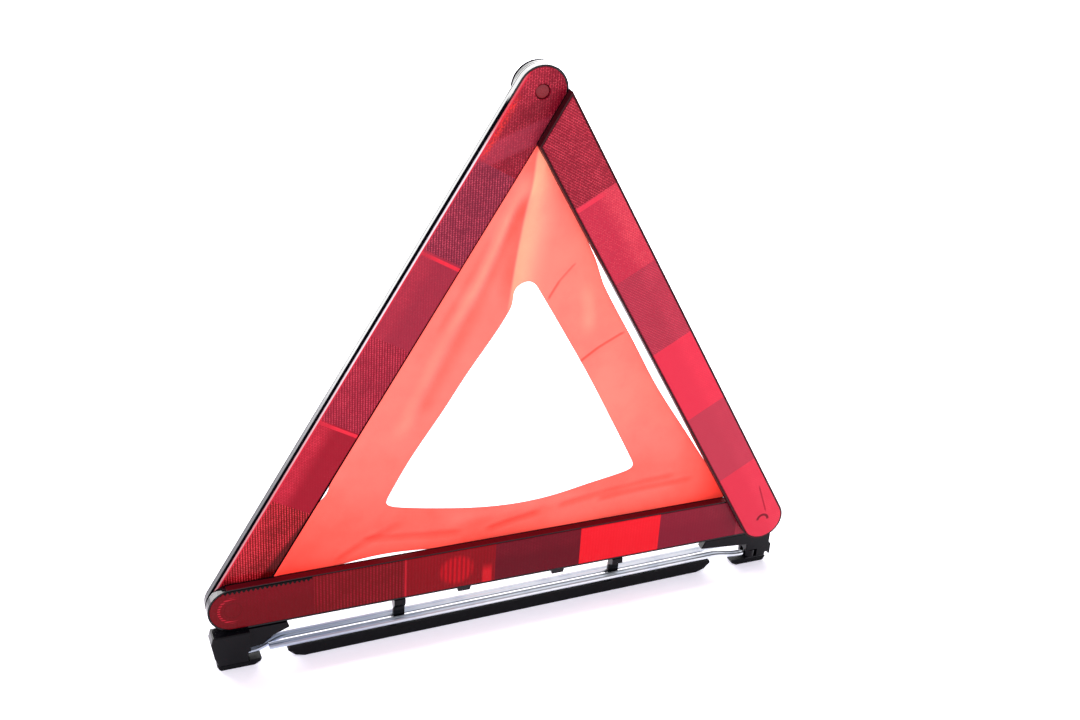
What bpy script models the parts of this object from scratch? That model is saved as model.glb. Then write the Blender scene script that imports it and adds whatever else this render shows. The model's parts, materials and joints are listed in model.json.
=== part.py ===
"""Folding warning triangle for a road vehicle.

Three reflector bars make the triangle: a base bar that stands on two end blocks and a foot rail,
and two side arms hinged to its ends. A fluorescent sheet fills the triangle, and two wire legs
lie folded under the base. X runs along the base, the reflectors face -Y, and the floor is Z = 0.

A bar is drawn flat in its own frame: X along the bar from its lower pivot, Y across it, and
Z = 0 at the front of its lens with the bar's body behind, at negative Z.
"""

import math

import bmesh
import bpy
from mathutils import Matrix, Vector

# Driving dimensions, in metres
PIVOT_SPACING = 0.410
PIVOT_HEIGHT = 0.047
BAR_HALF = 0.0175
LAYER_GAP = 0.0005
GAP = 0.0003
BASE_FRONT_Y = -0.00475

# Depths inside a bar, measured back from the front of its lens
LENS_THICK = 0.0023
RIM_DROP = 0.0004
POCKET_DEPTH = LENS_THICK + GAP
CHANNEL_BACK = 0.0055
COVER_FRONT = CHANNEL_BACK + GAP
BAR_THICK = 0.0070
RIM_WALL = 0.0012
LENS_INSET = RIM_WALL + GAP
TAB_X = 0.037
TAB_DROP = 0.0035

# Each arm leans by this much for each metre of its length, so that the two meet at the top
ARM_LEAN = 0.0080

# Pivot rivets
SHAFT_RADIUS = 0.0025
SHAFT_HOLE = 0.00265
HEAD_RADIUS = 0.0053
HEAD_POCKET = 0.0060
HEAD_THICK = 0.0010
TAIL_RADIUS = 0.0046
TAIL_HOLE = 0.0049

# Snap fastener at the top of the left arm
STUD_HEAD = 0.0049
STUD_HOLE = 0.0052
STUD_SHANK = 0.0039
STUD_BORE = 0.0042
KEEPER_THICK = 0.0050

# Stand: end blocks, foot rail, hook clips and wire legs
STAND_YAW = 0.0205
RAIL_MID_Y = 0.0036
BLOCK_TOP = -0.0183
BLOCK_BOTTOM = -0.0430
RAIL_HALF_LENGTH = 0.168
RAIL_TOP = -0.0378
RAIL_HALF_DEPTH = 0.0050
CLIP_X = 0.086
CLIP_WIDTH = 0.0085
HUB_RADIUS = 0.0046
HUB_HEIGHT = 0.0060
HUB_Z = -0.0382
PIN_RADIUS = 0.0020
PIN_TOP = -0.0280
WIRE_RADIUS = 0.0015
WIRE_PITCH = 0.0034
WIRE_Z = -0.0342
LEG_LENGTH = 0.387
LEG_SPACING = 0.0094
LEG_DROP = 0.0106

# Fluorescent sheet
SHEET_THICK = 0.0005
SHEET_CLEAR = 0.00055
SHEET_BOTTOM = 0.0188

ARC_STEPS = 16
SLANT = math.radians(60)
LEFT_SLANT = math.radians(59.4)

COLLECTION = bpy.data.collections.new("warning_triangle")
CUTTERS = bpy.data.collections.new("cutters")


def clear_scene():
    for thing in list(bpy.data.objects):
        bpy.data.objects.remove(thing, do_unlink=True)
    for collection in (COLLECTION, CUTTERS):
        bpy.context.scene.collection.children.link(collection)


def material(name, colour, roughness, metallic=0.0, transmission=0.0):
    made = bpy.data.materials.new(name)
    made.use_nodes = True
    shader = made.node_tree.nodes["Principled BSDF"]
    shader.inputs["Base Color"].default_value = (*colour, 1.0)
    shader.inputs["Roughness"].default_value = roughness
    shader.inputs["Metallic"].default_value = metallic
    shader.inputs["Transmission Weight"].default_value = transmission
    return made


def empty(name, matrix, parent=None):
    """A guide frame that carries the pieces of one bar or leg."""
    made = bpy.data.objects.new(name, None)
    made.empty_display_size = 0.02
    COLLECTION.objects.link(made)
    made.parent = parent
    made.matrix_local = matrix
    return made


def arc(centre, radius, start, end, steps=ARC_STEPS):
    """Points on an arc, from start to end degrees."""
    points = []
    for i in range(steps + 1):
        angle = math.radians(start + (end - start) * i / steps)
        points.append((centre[0] + radius * math.cos(angle), centre[1] + radius * math.sin(angle)))
    return points


def circle(centre, radius, steps=24):
    return arc(centre, radius, 0, 360, steps)[:-1]


def add_mesh(name, mesh, look, parent, collection=COLLECTION):
    """A mesh object with outward faces, smooth except at its sharp edges."""
    work = bmesh.new()
    work.from_mesh(mesh)
    bmesh.ops.remove_doubles(work, verts=work.verts, dist=1e-6)
    bmesh.ops.recalc_face_normals(work, faces=work.faces)
    work.to_mesh(mesh)
    work.free()
    mesh.shade_smooth()
    mesh.set_sharp_from_angle(angle=math.radians(35))
    made = bpy.data.objects.new(name, mesh)
    made.parent = parent
    collection.objects.link(made)
    if look:
        mesh.materials.append(look)
    else:
        made.hide_render = True
        made.display_type = "WIRE"
    return made


def curve_mesh(curve):
    """The mesh that a curve makes, with the curve itself removed."""
    holder = bpy.data.objects.new("outline", curve)
    bpy.context.scene.collection.objects.link(holder)
    bpy.context.view_layer.update()
    evaluated = holder.evaluated_get(bpy.context.evaluated_depsgraph_get())
    mesh = bpy.data.meshes.new_from_object(evaluated)
    bpy.data.objects.remove(holder, do_unlink=True)
    bpy.data.curves.remove(curve)
    return mesh


def flat_mesh(name, loops, low, high):
    """Closed outlines in the XY plane, extruded from Z = low to Z = high. Inner loops are holes."""
    curve = bpy.data.curves.new(name, "CURVE")
    curve.dimensions = "2D"
    curve.fill_mode = "BOTH"
    curve.extrude = (high - low) / 2
    for loop in loops:
        spline = curve.splines.new("POLY")
        spline.points.add(len(loop) - 1)
        for point, (x, y) in zip(spline.points, loop):
            point.co = (x, y, 0.0, 1.0)
        spline.use_cyclic_u = True
    mesh = curve_mesh(curve)
    mesh.transform(Matrix.Translation((0.0, 0.0, (high + low) / 2)))
    return mesh


def plate(name, loops, low, high, look, parent):
    return add_mesh(name, flat_mesh(name, loops, low, high), look, parent)


def combine(target, name, loops, low, high, operation, parent=None, turn=None):
    """Cut extruded outlines out of a piece, or join them to it."""
    mesh = flat_mesh(name, loops, low, high)
    if turn:
        mesh.transform(turn)
    tool = add_mesh(name, mesh, None, parent or target.parent, CUTTERS)
    boolean = target.modifiers.new(name, "BOOLEAN")
    boolean.operation = operation
    boolean.object = tool


def cut(target, name, loops, low, high, parent=None, turn=None):
    combine(target, name, loops, low, high, "DIFFERENCE", parent, turn)


def join(target, name, loops, low, high):
    combine(target, name, loops, low, high, "UNION")


def soften(piece, width, segments=2, angle=50):
    bevel = piece.modifiers.new("edges", "BEVEL")
    bevel.width = width
    bevel.segments = segments
    bevel.limit_method = "ANGLE"
    bevel.angle_limit = math.radians(angle)


def turned(name, profile, look, parent, steps=24):
    """A solid turned about Z from (radius, z) points that run down its outer side."""
    mesh = bpy.data.meshes.new(name)
    work = bmesh.new()
    rings = [work.verts.new((radius, 0.0, z)) for radius, z in profile]
    for upper, lower in zip(rings, rings[1:]):
        work.edges.new((upper, lower))
    if min(radius for radius, z in profile) > 0:
        work.edges.new((rings[-1], rings[0]))
    work.to_mesh(mesh)
    work.free()
    mesh.materials.append(look)
    made = bpy.data.objects.new(name, mesh)
    made.parent = parent
    COLLECTION.objects.link(made)
    screw = made.modifiers.new("turn", "SCREW")
    screw.steps = steps
    screw.render_steps = steps
    screw.use_merge_vertices = True
    screw.merge_threshold = 0.00001
    screw.use_smooth_shade = True
    return made


def bar_outline(end, inset=0.0):
    """A bar's outline. Its upper end is round, or is cut to leave room for the left arm."""
    half = BAR_HALF - inset
    points = arc((0.0, 0.0), half, 90, 270)
    if end == "round":
        return points + arc((PIVOT_SPACING, 0.0), half, -90, 90)
    shift = (LAYER_GAP + inset + BAR_HALF) / math.sin(SLANT)
    for y in (-half, half):
        points.append((PIVOT_SPACING - shift - y / math.tan(SLANT), y))
    return points


def add_tabs(base):
    """The two short tabs on the base bar's lower edge."""
    inner = -BAR_HALF + RIM_WALL / 2
    outer = -BAR_HALF - TAB_DROP
    for label, middle in (("left_tab", -TAB_X), ("right_tab", TAB_X)):
        x = PIVOT_SPACING / 2 + middle
        outline = [(x - 0.0055, inner), (x - 0.0045, outer), (x + 0.0045, outer), (x + 0.0055, inner)]
        join(base, label, [outline], -CHANNEL_BACK + 0.0005, -RIM_DROP - 0.0005)


def lens(name, end, holes, parent, look):
    loops = [bar_outline(end, LENS_INSET)]
    loops += [circle((x, 0.0), radius) for x, radius in holes]
    made = plate(name, loops, -LENS_THICK, 0.0, look, parent)
    soften(made, 0.0004)
    return made


def channel(name, end, holes, head_pockets, parent, look):
    """The tray that the lens sits in, open at the front, with its pivot holes."""
    loops = [bar_outline(end)]
    loops += [circle((x, 0.0), radius) for x, radius in holes]
    made = plate(name, loops, -CHANNEL_BACK, -RIM_DROP, look, parent)
    cut(made, name + "_pocket", [bar_outline(end, RIM_WALL)], -POCKET_DEPTH, 0.001)
    for x in head_pockets:
        floor = -(POCKET_DEPTH + HEAD_THICK + 2 * GAP)
        cut(made, name + "_head_pocket", [circle((x, 0.0), HEAD_POCKET)], floor, 0.001)
    return made


def cover(name, end, holes, parent, look):
    """The plate that closes the back of a bar."""
    loops = [bar_outline(end)]
    loops += [circle((x, 0.0), radius) for x, radius in holes]
    return plate(name, loops, -BAR_THICK, -COVER_FRONT, look, parent)


def rivet(name, parent, look):
    """A pivot rivet: its head under the front bar's lens, its tail in the rear bar's cover."""
    head_front = -(LENS_THICK + 2 * GAP)
    head_back = head_front - HEAD_THICK
    tail_front = -(BAR_THICK + LAYER_GAP + COVER_FRONT)
    tail_back = tail_front - HEAD_THICK
    profile = [
        (0.0, head_front),
        (HEAD_RADIUS - 0.0008, head_front),
        (HEAD_RADIUS, head_front - HEAD_THICK / 2),
        (HEAD_RADIUS, head_back),
        (SHAFT_RADIUS, head_back),
        (SHAFT_RADIUS, tail_front),
        (TAIL_RADIUS, tail_front),
        (TAIL_RADIUS, tail_back),
        (0.0, tail_back),
    ]
    return turned(name, profile, look, parent)


def snap_fastener(parent, looks):
    """The stud and the keeper behind it, which hold the tops of the arms together."""
    stud_front = -0.0012
    stud_floor = -(LENS_THICK - 0.0001)
    keeper_front = -(BAR_THICK + GAP)
    keeper_back = keeper_front - KEEPER_THICK
    middle = empty("stud_axis", Matrix.Translation((PIVOT_SPACING, 0.0, 0.0)), parent)
    profile = [
        (0.0, stud_front - 0.0004),
        (0.0030, stud_front - 0.0003),
        (STUD_HEAD - 0.0006, stud_front),
        (STUD_HEAD, stud_front - 0.0005),
        (STUD_HEAD, stud_floor),
        (STUD_SHANK, stud_floor),
        (STUD_SHANK, keeper_back + 0.0006),
        (0.0, keeper_back + 0.0006),
    ]
    turned("latch_stud", profile, looks["red"], middle)
    loops = [circle((0.0, 0.0), BAR_HALF, 40), circle((0.0, 0.0), STUD_BORE)]
    keeper = plate("latch_keeper", loops, keeper_back, keeper_front, looks["black"], middle)
    soften(keeper, 0.0006)


def arm_frame(name, root, pivot_x, angle, front_y, lean):
    """A bar's frame in an arm: its X axis runs up the arm and leans by lean metres a metre."""
    along = Vector((math.cos(angle), lean, math.sin(angle))).normalized()
    front = Vector((0.0, -1.0, 0.0))
    across = front.cross(along).normalized()
    front = along.cross(across)
    matrix = Matrix((along, across, front)).transposed().to_4x4()
    matrix.translation = (pivot_x, front_y, 0.0)
    return empty(name, matrix, root)


def make_base(root, looks):
    half = PIVOT_SPACING / 2
    frame = arm_frame("base_frame", root, -half, 0.0, 0.0, 0.0)
    right = PIVOT_SPACING
    lens("base_lens", "round", [(right, SHAFT_HOLE)], frame, looks["lens"])
    holes = [(0.0, SHAFT_HOLE), (right, SHAFT_HOLE)]
    add_tabs(channel("base_channel", "round", holes, [0.0], frame, looks["black"]))
    holes = [(0.0, SHAFT_HOLE), (right, TAIL_HOLE)]
    cover("base_back_cover", "round", holes, frame, looks["black"])
    rivet("left_pivot_rivet", frame, looks["steel"])
    right_frame = empty(
        "right_rivet_frame",
        Matrix.Translation((right, 0.0, BAR_THICK + LAYER_GAP)),
        frame,
    )
    rivet("right_pivot_rivet", right_frame, looks["steel"])


def make_left_arm(root, looks):
    rear = BAR_THICK + LAYER_GAP
    frame = arm_frame("left_arm_frame", root, -PIVOT_SPACING / 2, LEFT_SLANT, rear, -ARM_LEAN)
    top = PIVOT_SPACING
    holes = [(0.0, SHAFT_HOLE), (top, STUD_HOLE)]
    lens("left_arm_lens", "round", holes, frame, looks["lens"])
    holes = [(0.0, SHAFT_HOLE), (top, STUD_BORE)]
    channel("left_arm_channel", "round", holes, [], frame, looks["black"])
    holes = [(0.0, TAIL_HOLE), (top, STUD_BORE)]
    cover("left_arm_back_cover", "round", holes, frame, looks["black"])
    snap_fastener(frame, looks)


def make_right_arm(root, looks):
    front = -(BAR_THICK + LAYER_GAP)
    angle = math.pi - SLANT
    frame = arm_frame("right_arm_frame", root, PIVOT_SPACING / 2, angle, front, ARM_LEAN)
    lens("right_arm_lens", "cut", [], frame, looks["lens"])
    holes = [(0.0, SHAFT_HOLE)]
    channel("right_arm_channel", "cut", holes, [0.0], frame, looks["black"])
    cover("right_arm_back_cover", "cut", holes, frame, looks["black"])


def side_view(side):
    """Turns an outline drawn in XY into one in XZ, extruded along Y, for either end."""
    flip = Matrix.Diagonal((side, 1.0, 1.0, 1.0))
    return flip @ Matrix.Rotation(math.radians(90), 4, "X")


def stand_plate(name, loops, front_y, back_y, side, look, parent):
    """A plate of the stand, drawn in XZ and extruded from front_y to back_y."""
    mesh = flat_mesh(name, loops, -back_y, -front_y)
    mesh.transform(side_view(side))
    return add_mesh(name, mesh, look, parent)


def tilted(side):
    """The leg's axis: it leans along the base, so that a leg drops as it swings out."""
    return Matrix.Rotation(side * math.atan(LEG_DROP / LEG_LENGTH), 4, "Y")


# The two ends of the stand: depth range of the block, its hub's place in depth, and its outline in
# XZ from the flange's tip round its lower edge, with +X towards the outer end
ENDS = {
    -1: {
        "depth": (-0.0045, 0.0085),
        "hub_y": 0.0020,
        "outline": [
            (-0.0372, BLOCK_TOP),
            (-0.0385, -0.0225),
            (-0.0270, -0.0270),
            (-0.0200, -0.0330),
            (-0.0085, -0.0348),
            (-0.0085, BLOCK_BOTTOM),
            (0.0125, BLOCK_BOTTOM),
            (0.0150, -0.0360),
            (0.0170, -0.0240),
            (0.0155, BLOCK_TOP),
        ],
    },
    1: {
        "depth": (0.0010, 0.0135),
        "hub_y": 0.0050,
        "outline": [
            (-0.0425, BLOCK_TOP),
            (-0.0460, -0.0250),
            (-0.0050, -0.0290),
            (-0.0050, BLOCK_BOTTOM),
            (0.0125, BLOCK_BOTTOM),
            (0.0130, -0.0395),
            (0.0158, -0.0395),
            (0.0158, -0.0418),
            (0.0174, -0.0418),
            (0.0174, -0.0325),
            (0.0155, -0.0300),
            (0.0155, BLOCK_TOP),
        ],
    },
}


def make_end_block(label, side, root, looks):
    """An end block. side is -1 on the left, whose leg swings back, and 1 on the right."""
    frame = empty(
        label + "_block_frame", Matrix.Translation((side * PIVOT_SPACING / 2, 0.0, 0.0)), root
    )
    end = ENDS[side]
    outline = end["outline"][::-1]
    front, back = end["depth"]
    hub_y = end["hub_y"]
    block = stand_plate(
        label + "_end_block", [outline], front, back, side, looks["black"], frame
    )
    soften(block, 0.0008, 2, 40)
    # The flange under the bar is only as deep as the bar
    for place, low, high in (("front", -0.020, -0.0006), ("back", 0.0076, 0.030)):
        edges = [(-0.060, -0.050), (-0.0100, -0.050), (-0.0100, 0.0), (-0.060, 0.0)]
        cut(block, f"{label}_flange_{place}", [edges], -high, -low, frame, side_view(side))
    # The slot that the leg's hub turns in is open towards the leg and to the side it swings to
    reach = 0.030
    near = hub_y + side * (HUB_RADIUS + 0.0004)
    far = hub_y - side * reach
    edges = [(-0.060, -0.0415), (0.0050, -0.0415), (0.0050, -0.0348), (-0.060, -0.0348)]
    low, high = sorted((near, far))
    cut(block, label + "_leg_slot", [edges], -high, -low, frame, side_view(side))
    axis = empty(
        label + "_leg_axis", Matrix.Translation((0.0, hub_y, HUB_Z)) @ tilted(side), frame
    )
    hole = [circle((0.0, 0.0), PIN_RADIUS + GAP)]
    cut(block, label + "_pin_hole", hole, -0.010, PIN_TOP - HUB_Z + GAP, axis)
    pin_low = -0.0046
    pin = [
        (0.0, PIN_TOP - HUB_Z),
        (PIN_RADIUS, PIN_TOP - HUB_Z),
        (PIN_RADIUS, pin_low),
        (0.0, pin_low),
    ]
    turned(label + "_leg_pin", pin, looks["steel"], axis)
    hub = [
        (PIN_RADIUS + GAP, HUB_HEIGHT / 2),
        (HUB_RADIUS, HUB_HEIGHT / 2),
        (HUB_RADIUS, -HUB_HEIGHT / 2),
        (PIN_RADIUS + GAP, -HUB_HEIGHT / 2),
    ]
    turned(label + "_leg_hub", hub, looks["black"], axis)
    return frame


def make_foot_pad(label, side, frame, looks):
    """The boat-shaped foot under an end block, with its toe towards the middle."""
    top = BLOCK_BOTTOM - GAP
    floor = -PIVOT_HEIGHT
    outline = [
        (0.0135, top),
        (0.0120, floor + 0.0008),
        (0.0110, floor),
        (-0.0120, floor),
        (-0.0165, floor + 0.0025),
        (-0.0175, floor + 0.0048),
        (-0.0092, floor + 0.0052),
        (-0.0092, top),
    ]
    stand_plate(
        label + "_foot_pad",
        [outline],
        ENDS[side]["depth"][0] + 0.0003,
        ENDS[side]["depth"][1] - 0.0003,
        side,
        looks["rubber"],
        frame,
    )


def wire_y(x, side):
    """A leg's middle in depth at a place along the base: the folded legs follow the stand's slight
    yaw, the right leg in front and the left leg behind it."""
    front = ENDS[1]["hub_y"] - math.tan(STAND_YAW) * (PIVOT_SPACING / 2 - x)
    return front if side == 1 else front + LEG_SPACING


def leg_path(offset):
    """A leg's wire, folded in two: out from its free end, round at the hub and back."""
    slope = math.tan(STAND_YAW)
    cosine_steps = 8
    crank_start = 0.0110
    crank_end = 0.0360
    root_z = HUB_Z
    bend = HUB_RADIUS + GAP + WIRE_RADIUS + WIRE_PITCH / 2
    run = [LEG_LENGTH, LEG_LENGTH * 0.66, LEG_LENGTH * 0.33]
    points = [(x, offset + slope * x, WIRE_Z) for x in run]
    for i in range(cosine_steps + 1):
        ease = 0.5 + 0.5 * math.cos(math.pi * i / cosine_steps)
        x = crank_end + (crank_start - crank_end) * i / cosine_steps
        points.append((x, (offset + slope * x) * ease, root_z + (WIRE_Z - root_z) * ease))
    outward = [(x, y + WIRE_PITCH / 2, z) for x, y, z in points]
    back = [(x, y - WIRE_PITCH / 2, z) for x, y, z in reversed(points)]
    turn = [(x, y, root_z) for x, y in arc((bend, 0.0), WIRE_PITCH / 2, 90, 270, 6)]
    return outward + turn + back


def make_leg(label, side, frame, looks):
    """A wire leg, folded along the base. Its object's origin is on its swing axis."""
    curve = bpy.data.curves.new(label + "_leg_wire", "CURVE")
    curve.dimensions = "3D"
    curve.bevel_depth = WIRE_RADIUS
    curve.bevel_resolution = 2
    curve.use_fill_caps = True
    hub_y = ENDS[side]["hub_y"]
    path = leg_path(side * (hub_y - wire_y(side * PIVOT_SPACING / 2, side)))
    spline = curve.splines.new("POLY")
    spline.points.add(len(path) - 1)
    for point, (x, y, z) in zip(spline.points, path):
        point.co = (-side * x, -side * y, z, 1.0)
    mesh = curve_mesh(curve)
    made = add_mesh(label + "_leg_wire", mesh, looks["chrome"], frame)
    made.location = (0.0, hub_y, 0.0)


def make_rail(root, looks):
    end = RAIL_HALF_LENGTH
    floor = -PIVOT_HEIGHT
    half = [(end, RAIL_TOP), (end + 0.001, RAIL_TOP - 0.0022), (end - 0.004, floor + 0.0022)]
    half.append((end - 0.011, floor))
    outline = half + [(-x, z) for x, z in reversed(half)]
    front = RAIL_MID_Y - RAIL_HALF_DEPTH
    back = RAIL_MID_Y + RAIL_HALF_DEPTH
    rail = stand_plate("foot_rail", [outline], front, back, 1, looks["rubber"], root)
    rail.data.transform(Matrix.Rotation(STAND_YAW, 4, "Z"))


def make_clip(label, x, root, looks):
    """A hook clip: a head under the bar, a stem between the legs and a ledge under each leg."""
    top = -BAR_HALF - GAP
    ledge_top = WIRE_Z - WIRE_RADIUS - GAP
    ledge_bottom = RAIL_TOP + GAP
    mid = wire_y(x, 1) + LEG_SPACING / 2
    reach = LEG_SPACING / 2 + WIRE_PITCH / 2 + WIRE_RADIUS - 0.0006
    stem = 0.0011
    outline = [(0.0072, top), (0.0072, top - 0.0045), (mid + stem, top - 0.0085)]
    outline += [(mid + stem, ledge_top), (mid + reach, ledge_top), (mid + reach, ledge_bottom)]
    outline += [(mid - reach, ledge_bottom), (mid - reach, ledge_top), (mid - stem, ledge_top)]
    outline += [(mid - stem, top - 0.0085), (-0.0002, top - 0.0045), (-0.0002, top)]
    mesh = flat_mesh(label, [outline], -CLIP_WIDTH / 2, CLIP_WIDTH / 2)
    mesh.transform(Matrix(((0, 0, 1, 0), (1, 0, 0, 0), (0, 1, 0, 0), (0, 0, 0, 1))))
    clip = add_mesh(label, mesh, looks["black"], root)
    clip.location = (x, 0.0, 0.0)


def sheet_outline():
    """The fluorescent sheet's outer edge, between the bars' inner edges."""
    top_z = PIVOT_SPACING * math.sin(SLANT) - 2 * BAR_HALF - 0.0040
    right_gap = 0.0038
    bow = 0.0025

    def left_x(z):
        inner = (BAR_HALF + z * math.cos(LEFT_SLANT)) / math.sin(LEFT_SLANT)
        return inner - PIVOT_SPACING / 2 + 0.0006

    start_x = PIVOT_SPACING / 2 - right_gap
    start_x -= (BAR_HALF + SHEET_BOTTOM * math.cos(SLANT)) / math.sin(SLANT)
    end_x = left_x(top_z) + 0.0030
    points = [(left_x(SHEET_BOTTOM), SHEET_BOTTOM), (start_x, SHEET_BOTTOM)]
    steps = 6
    for i in range(1, steps):
        share = i / steps
        x = start_x + (end_x - start_x) * share
        z = SHEET_BOTTOM + (top_z - SHEET_BOTTOM) * share
        points.append((x - bow * math.sin(math.pi * share), z))
    return points + [(end_x, top_z), (left_x(top_z), top_z)]


def sheet_hole():
    """The open triangle in the sheet, with rounded corners."""
    corners = ((-0.0940, 0.0560), (0.0930, 0.0560), (0.0, 0.2240))
    radius = 0.0060
    points = []
    for i, (x, z) in enumerate(corners):
        before = Vector(corners[i - 1]) - Vector((x, z))
        after = Vector(corners[(i + 1) % 3]) - Vector((x, z))
        before.normalize()
        after.normalize()
        middle = (before + after).normalized()
        half_angle = before.angle(after) / 2
        centre = Vector((x, z)) + middle * radius / math.sin(half_angle)
        start = math.degrees(math.atan2(-middle.y, -middle.x))
        sweep = 90 - math.degrees(half_angle)
        points += arc(centre, radius, start - sweep, start + sweep, 6)
    return points


def make_sheet(root, looks):
    """The sheet hangs just in front of the left arm's plane, and leans with it."""
    mesh = flat_mesh(
        "fluorescent_sheet", [sheet_outline(), sheet_hole()], -SHEET_THICK / 2, SHEET_THICK / 2
    )
    mesh.transform(side_view(1))
    made = add_mesh("fluorescent_sheet", mesh, looks["sheet"], root)
    made.location = (0.0, BAR_THICK + LAYER_GAP - SHEET_CLEAR, 0.0)
    made.rotation_euler = (math.atan(ARM_LEAN / math.sin(SLANT)), 0.0, 0.0)


def main():
    clear_scene()
    looks = {
        "black": material("black_plastic", (0.015, 0.015, 0.018), 0.32),
        "rubber": material("black_rubber", (0.012, 0.012, 0.014), 0.55),
        "lens": material("red_reflector", (0.42, 0.012, 0.022), 0.12, 0.0, 0.35),
        "red": material("red_plastic", (0.20, 0.010, 0.025), 0.30),
        "steel": material("plated_steel", (0.60, 0.60, 0.62), 0.28, 1.0),
        "chrome": material("chrome_wire", (0.82, 0.83, 0.86), 0.10, 1.0),
        "sheet": material("fluorescent_cloth", (1.0, 0.19, 0.08), 0.55),
    }
    root = empty("triangle", Matrix.Translation((0.0, BASE_FRONT_Y, PIVOT_HEIGHT)))
    make_base(root, looks)
    make_left_arm(root, looks)
    make_right_arm(root, looks)
    for label, side in (("left", -1), ("right", 1)):
        frame = make_end_block(label, side, root, looks)
        make_foot_pad(label, side, frame, looks)
        make_leg(label, side, frame, looks)
    make_rail(root, looks)
    make_clip("left_hook_clip", -CLIP_X, root, looks)
    make_clip("right_hook_clip", CLIP_X, root, looks)
    make_sheet(root, looks)


main()
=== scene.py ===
"""Folding warning triangle: procedural materials, the fluorescent sheet, studio and camera."""

import json
import math

import bpy
from mathutils import Matrix, Vector


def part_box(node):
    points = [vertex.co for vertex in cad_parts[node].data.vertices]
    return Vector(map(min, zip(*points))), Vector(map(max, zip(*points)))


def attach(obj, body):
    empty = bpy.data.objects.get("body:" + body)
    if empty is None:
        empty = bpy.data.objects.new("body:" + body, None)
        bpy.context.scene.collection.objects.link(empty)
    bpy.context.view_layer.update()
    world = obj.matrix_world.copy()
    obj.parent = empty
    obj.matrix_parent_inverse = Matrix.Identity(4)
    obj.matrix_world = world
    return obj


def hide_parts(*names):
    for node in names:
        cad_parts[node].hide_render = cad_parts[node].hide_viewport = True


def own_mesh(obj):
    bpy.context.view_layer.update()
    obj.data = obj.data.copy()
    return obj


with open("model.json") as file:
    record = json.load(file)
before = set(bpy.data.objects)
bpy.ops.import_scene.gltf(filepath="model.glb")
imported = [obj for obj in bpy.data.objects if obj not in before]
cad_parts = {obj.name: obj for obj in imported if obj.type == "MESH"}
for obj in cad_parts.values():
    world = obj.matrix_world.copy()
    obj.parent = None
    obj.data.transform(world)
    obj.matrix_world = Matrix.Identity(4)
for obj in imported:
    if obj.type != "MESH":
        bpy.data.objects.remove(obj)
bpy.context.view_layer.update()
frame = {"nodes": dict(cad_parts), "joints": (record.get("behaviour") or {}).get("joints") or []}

NODES = frame["nodes"]
JOINTS = {joint["name"]: joint for joint in frame["joints"]}

# Pivots and directions, from the joints. ALONG runs up a bar from its pivot. OUT crosses it: away
# from the middle of the triangle on the arms, and up on the base
LEFT_PIVOT = Vector(JOINTS["left_arm_fold"]["pos_m"])
RIGHT_PIVOT = Vector(JOINTS["right_arm_fold"]["pos_m"])
PIVOT_Z = LEFT_PIVOT.z
SPAN = RIGHT_PIVOT.x - LEFT_PIVOT.x
LEFT_SLANT = math.radians(JOINTS["left_arm_fold"]["range_deg"][1])
RIGHT_SLANT = math.radians(JOINTS["right_arm_fold"]["range_deg"][1])
ALONG_LEFT = Vector((math.cos(LEFT_SLANT), 0.0, math.sin(LEFT_SLANT)))
ALONG_RIGHT = Vector((-math.cos(RIGHT_SLANT), 0.0, math.sin(RIGHT_SLANT)))
ALONG_BASE = Vector((1.0, 0.0, 0.0))
OUT_LEFT = Vector((-math.sin(LEFT_SLANT), 0.0, math.cos(LEFT_SLANT)))
OUT_RIGHT = Vector((math.sin(RIGHT_SLANT), 0.0, math.cos(RIGHT_SLANT)))
OUT_BASE = Vector((0.0, 0.0, 1.0))

# Half widths of a bar and of its lens, and the lens's length
BAR_HALF = 0.0175
LENS_HALF = 0.0160
LENS_LENGTH = SPAN + 2 * LENS_HALF

# Width of a prism on each lens, length of a patch of prisms, and length of a bead on a rib
BASE_PITCH = 0.0024
LEFT_PITCH = 0.0018
RIGHT_PITCH = 0.0016
PATCH_PITCH = 0.0672
BEAD_HALF = 0.00075

CLOTH_THICK = 0.0002
THREAD = 0.00022


def srgb(red, green, blue):
    """A colour given as 0-255 screen values, as the linear colour that a shader takes."""
    linear = []
    for value in (red, green, blue):
        share = value / 255
        linear.append(share / 12.92 if share <= 0.04045 else ((share + 0.055) / 1.055) ** 2.4)
    return (*linear, 1.0)


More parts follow.
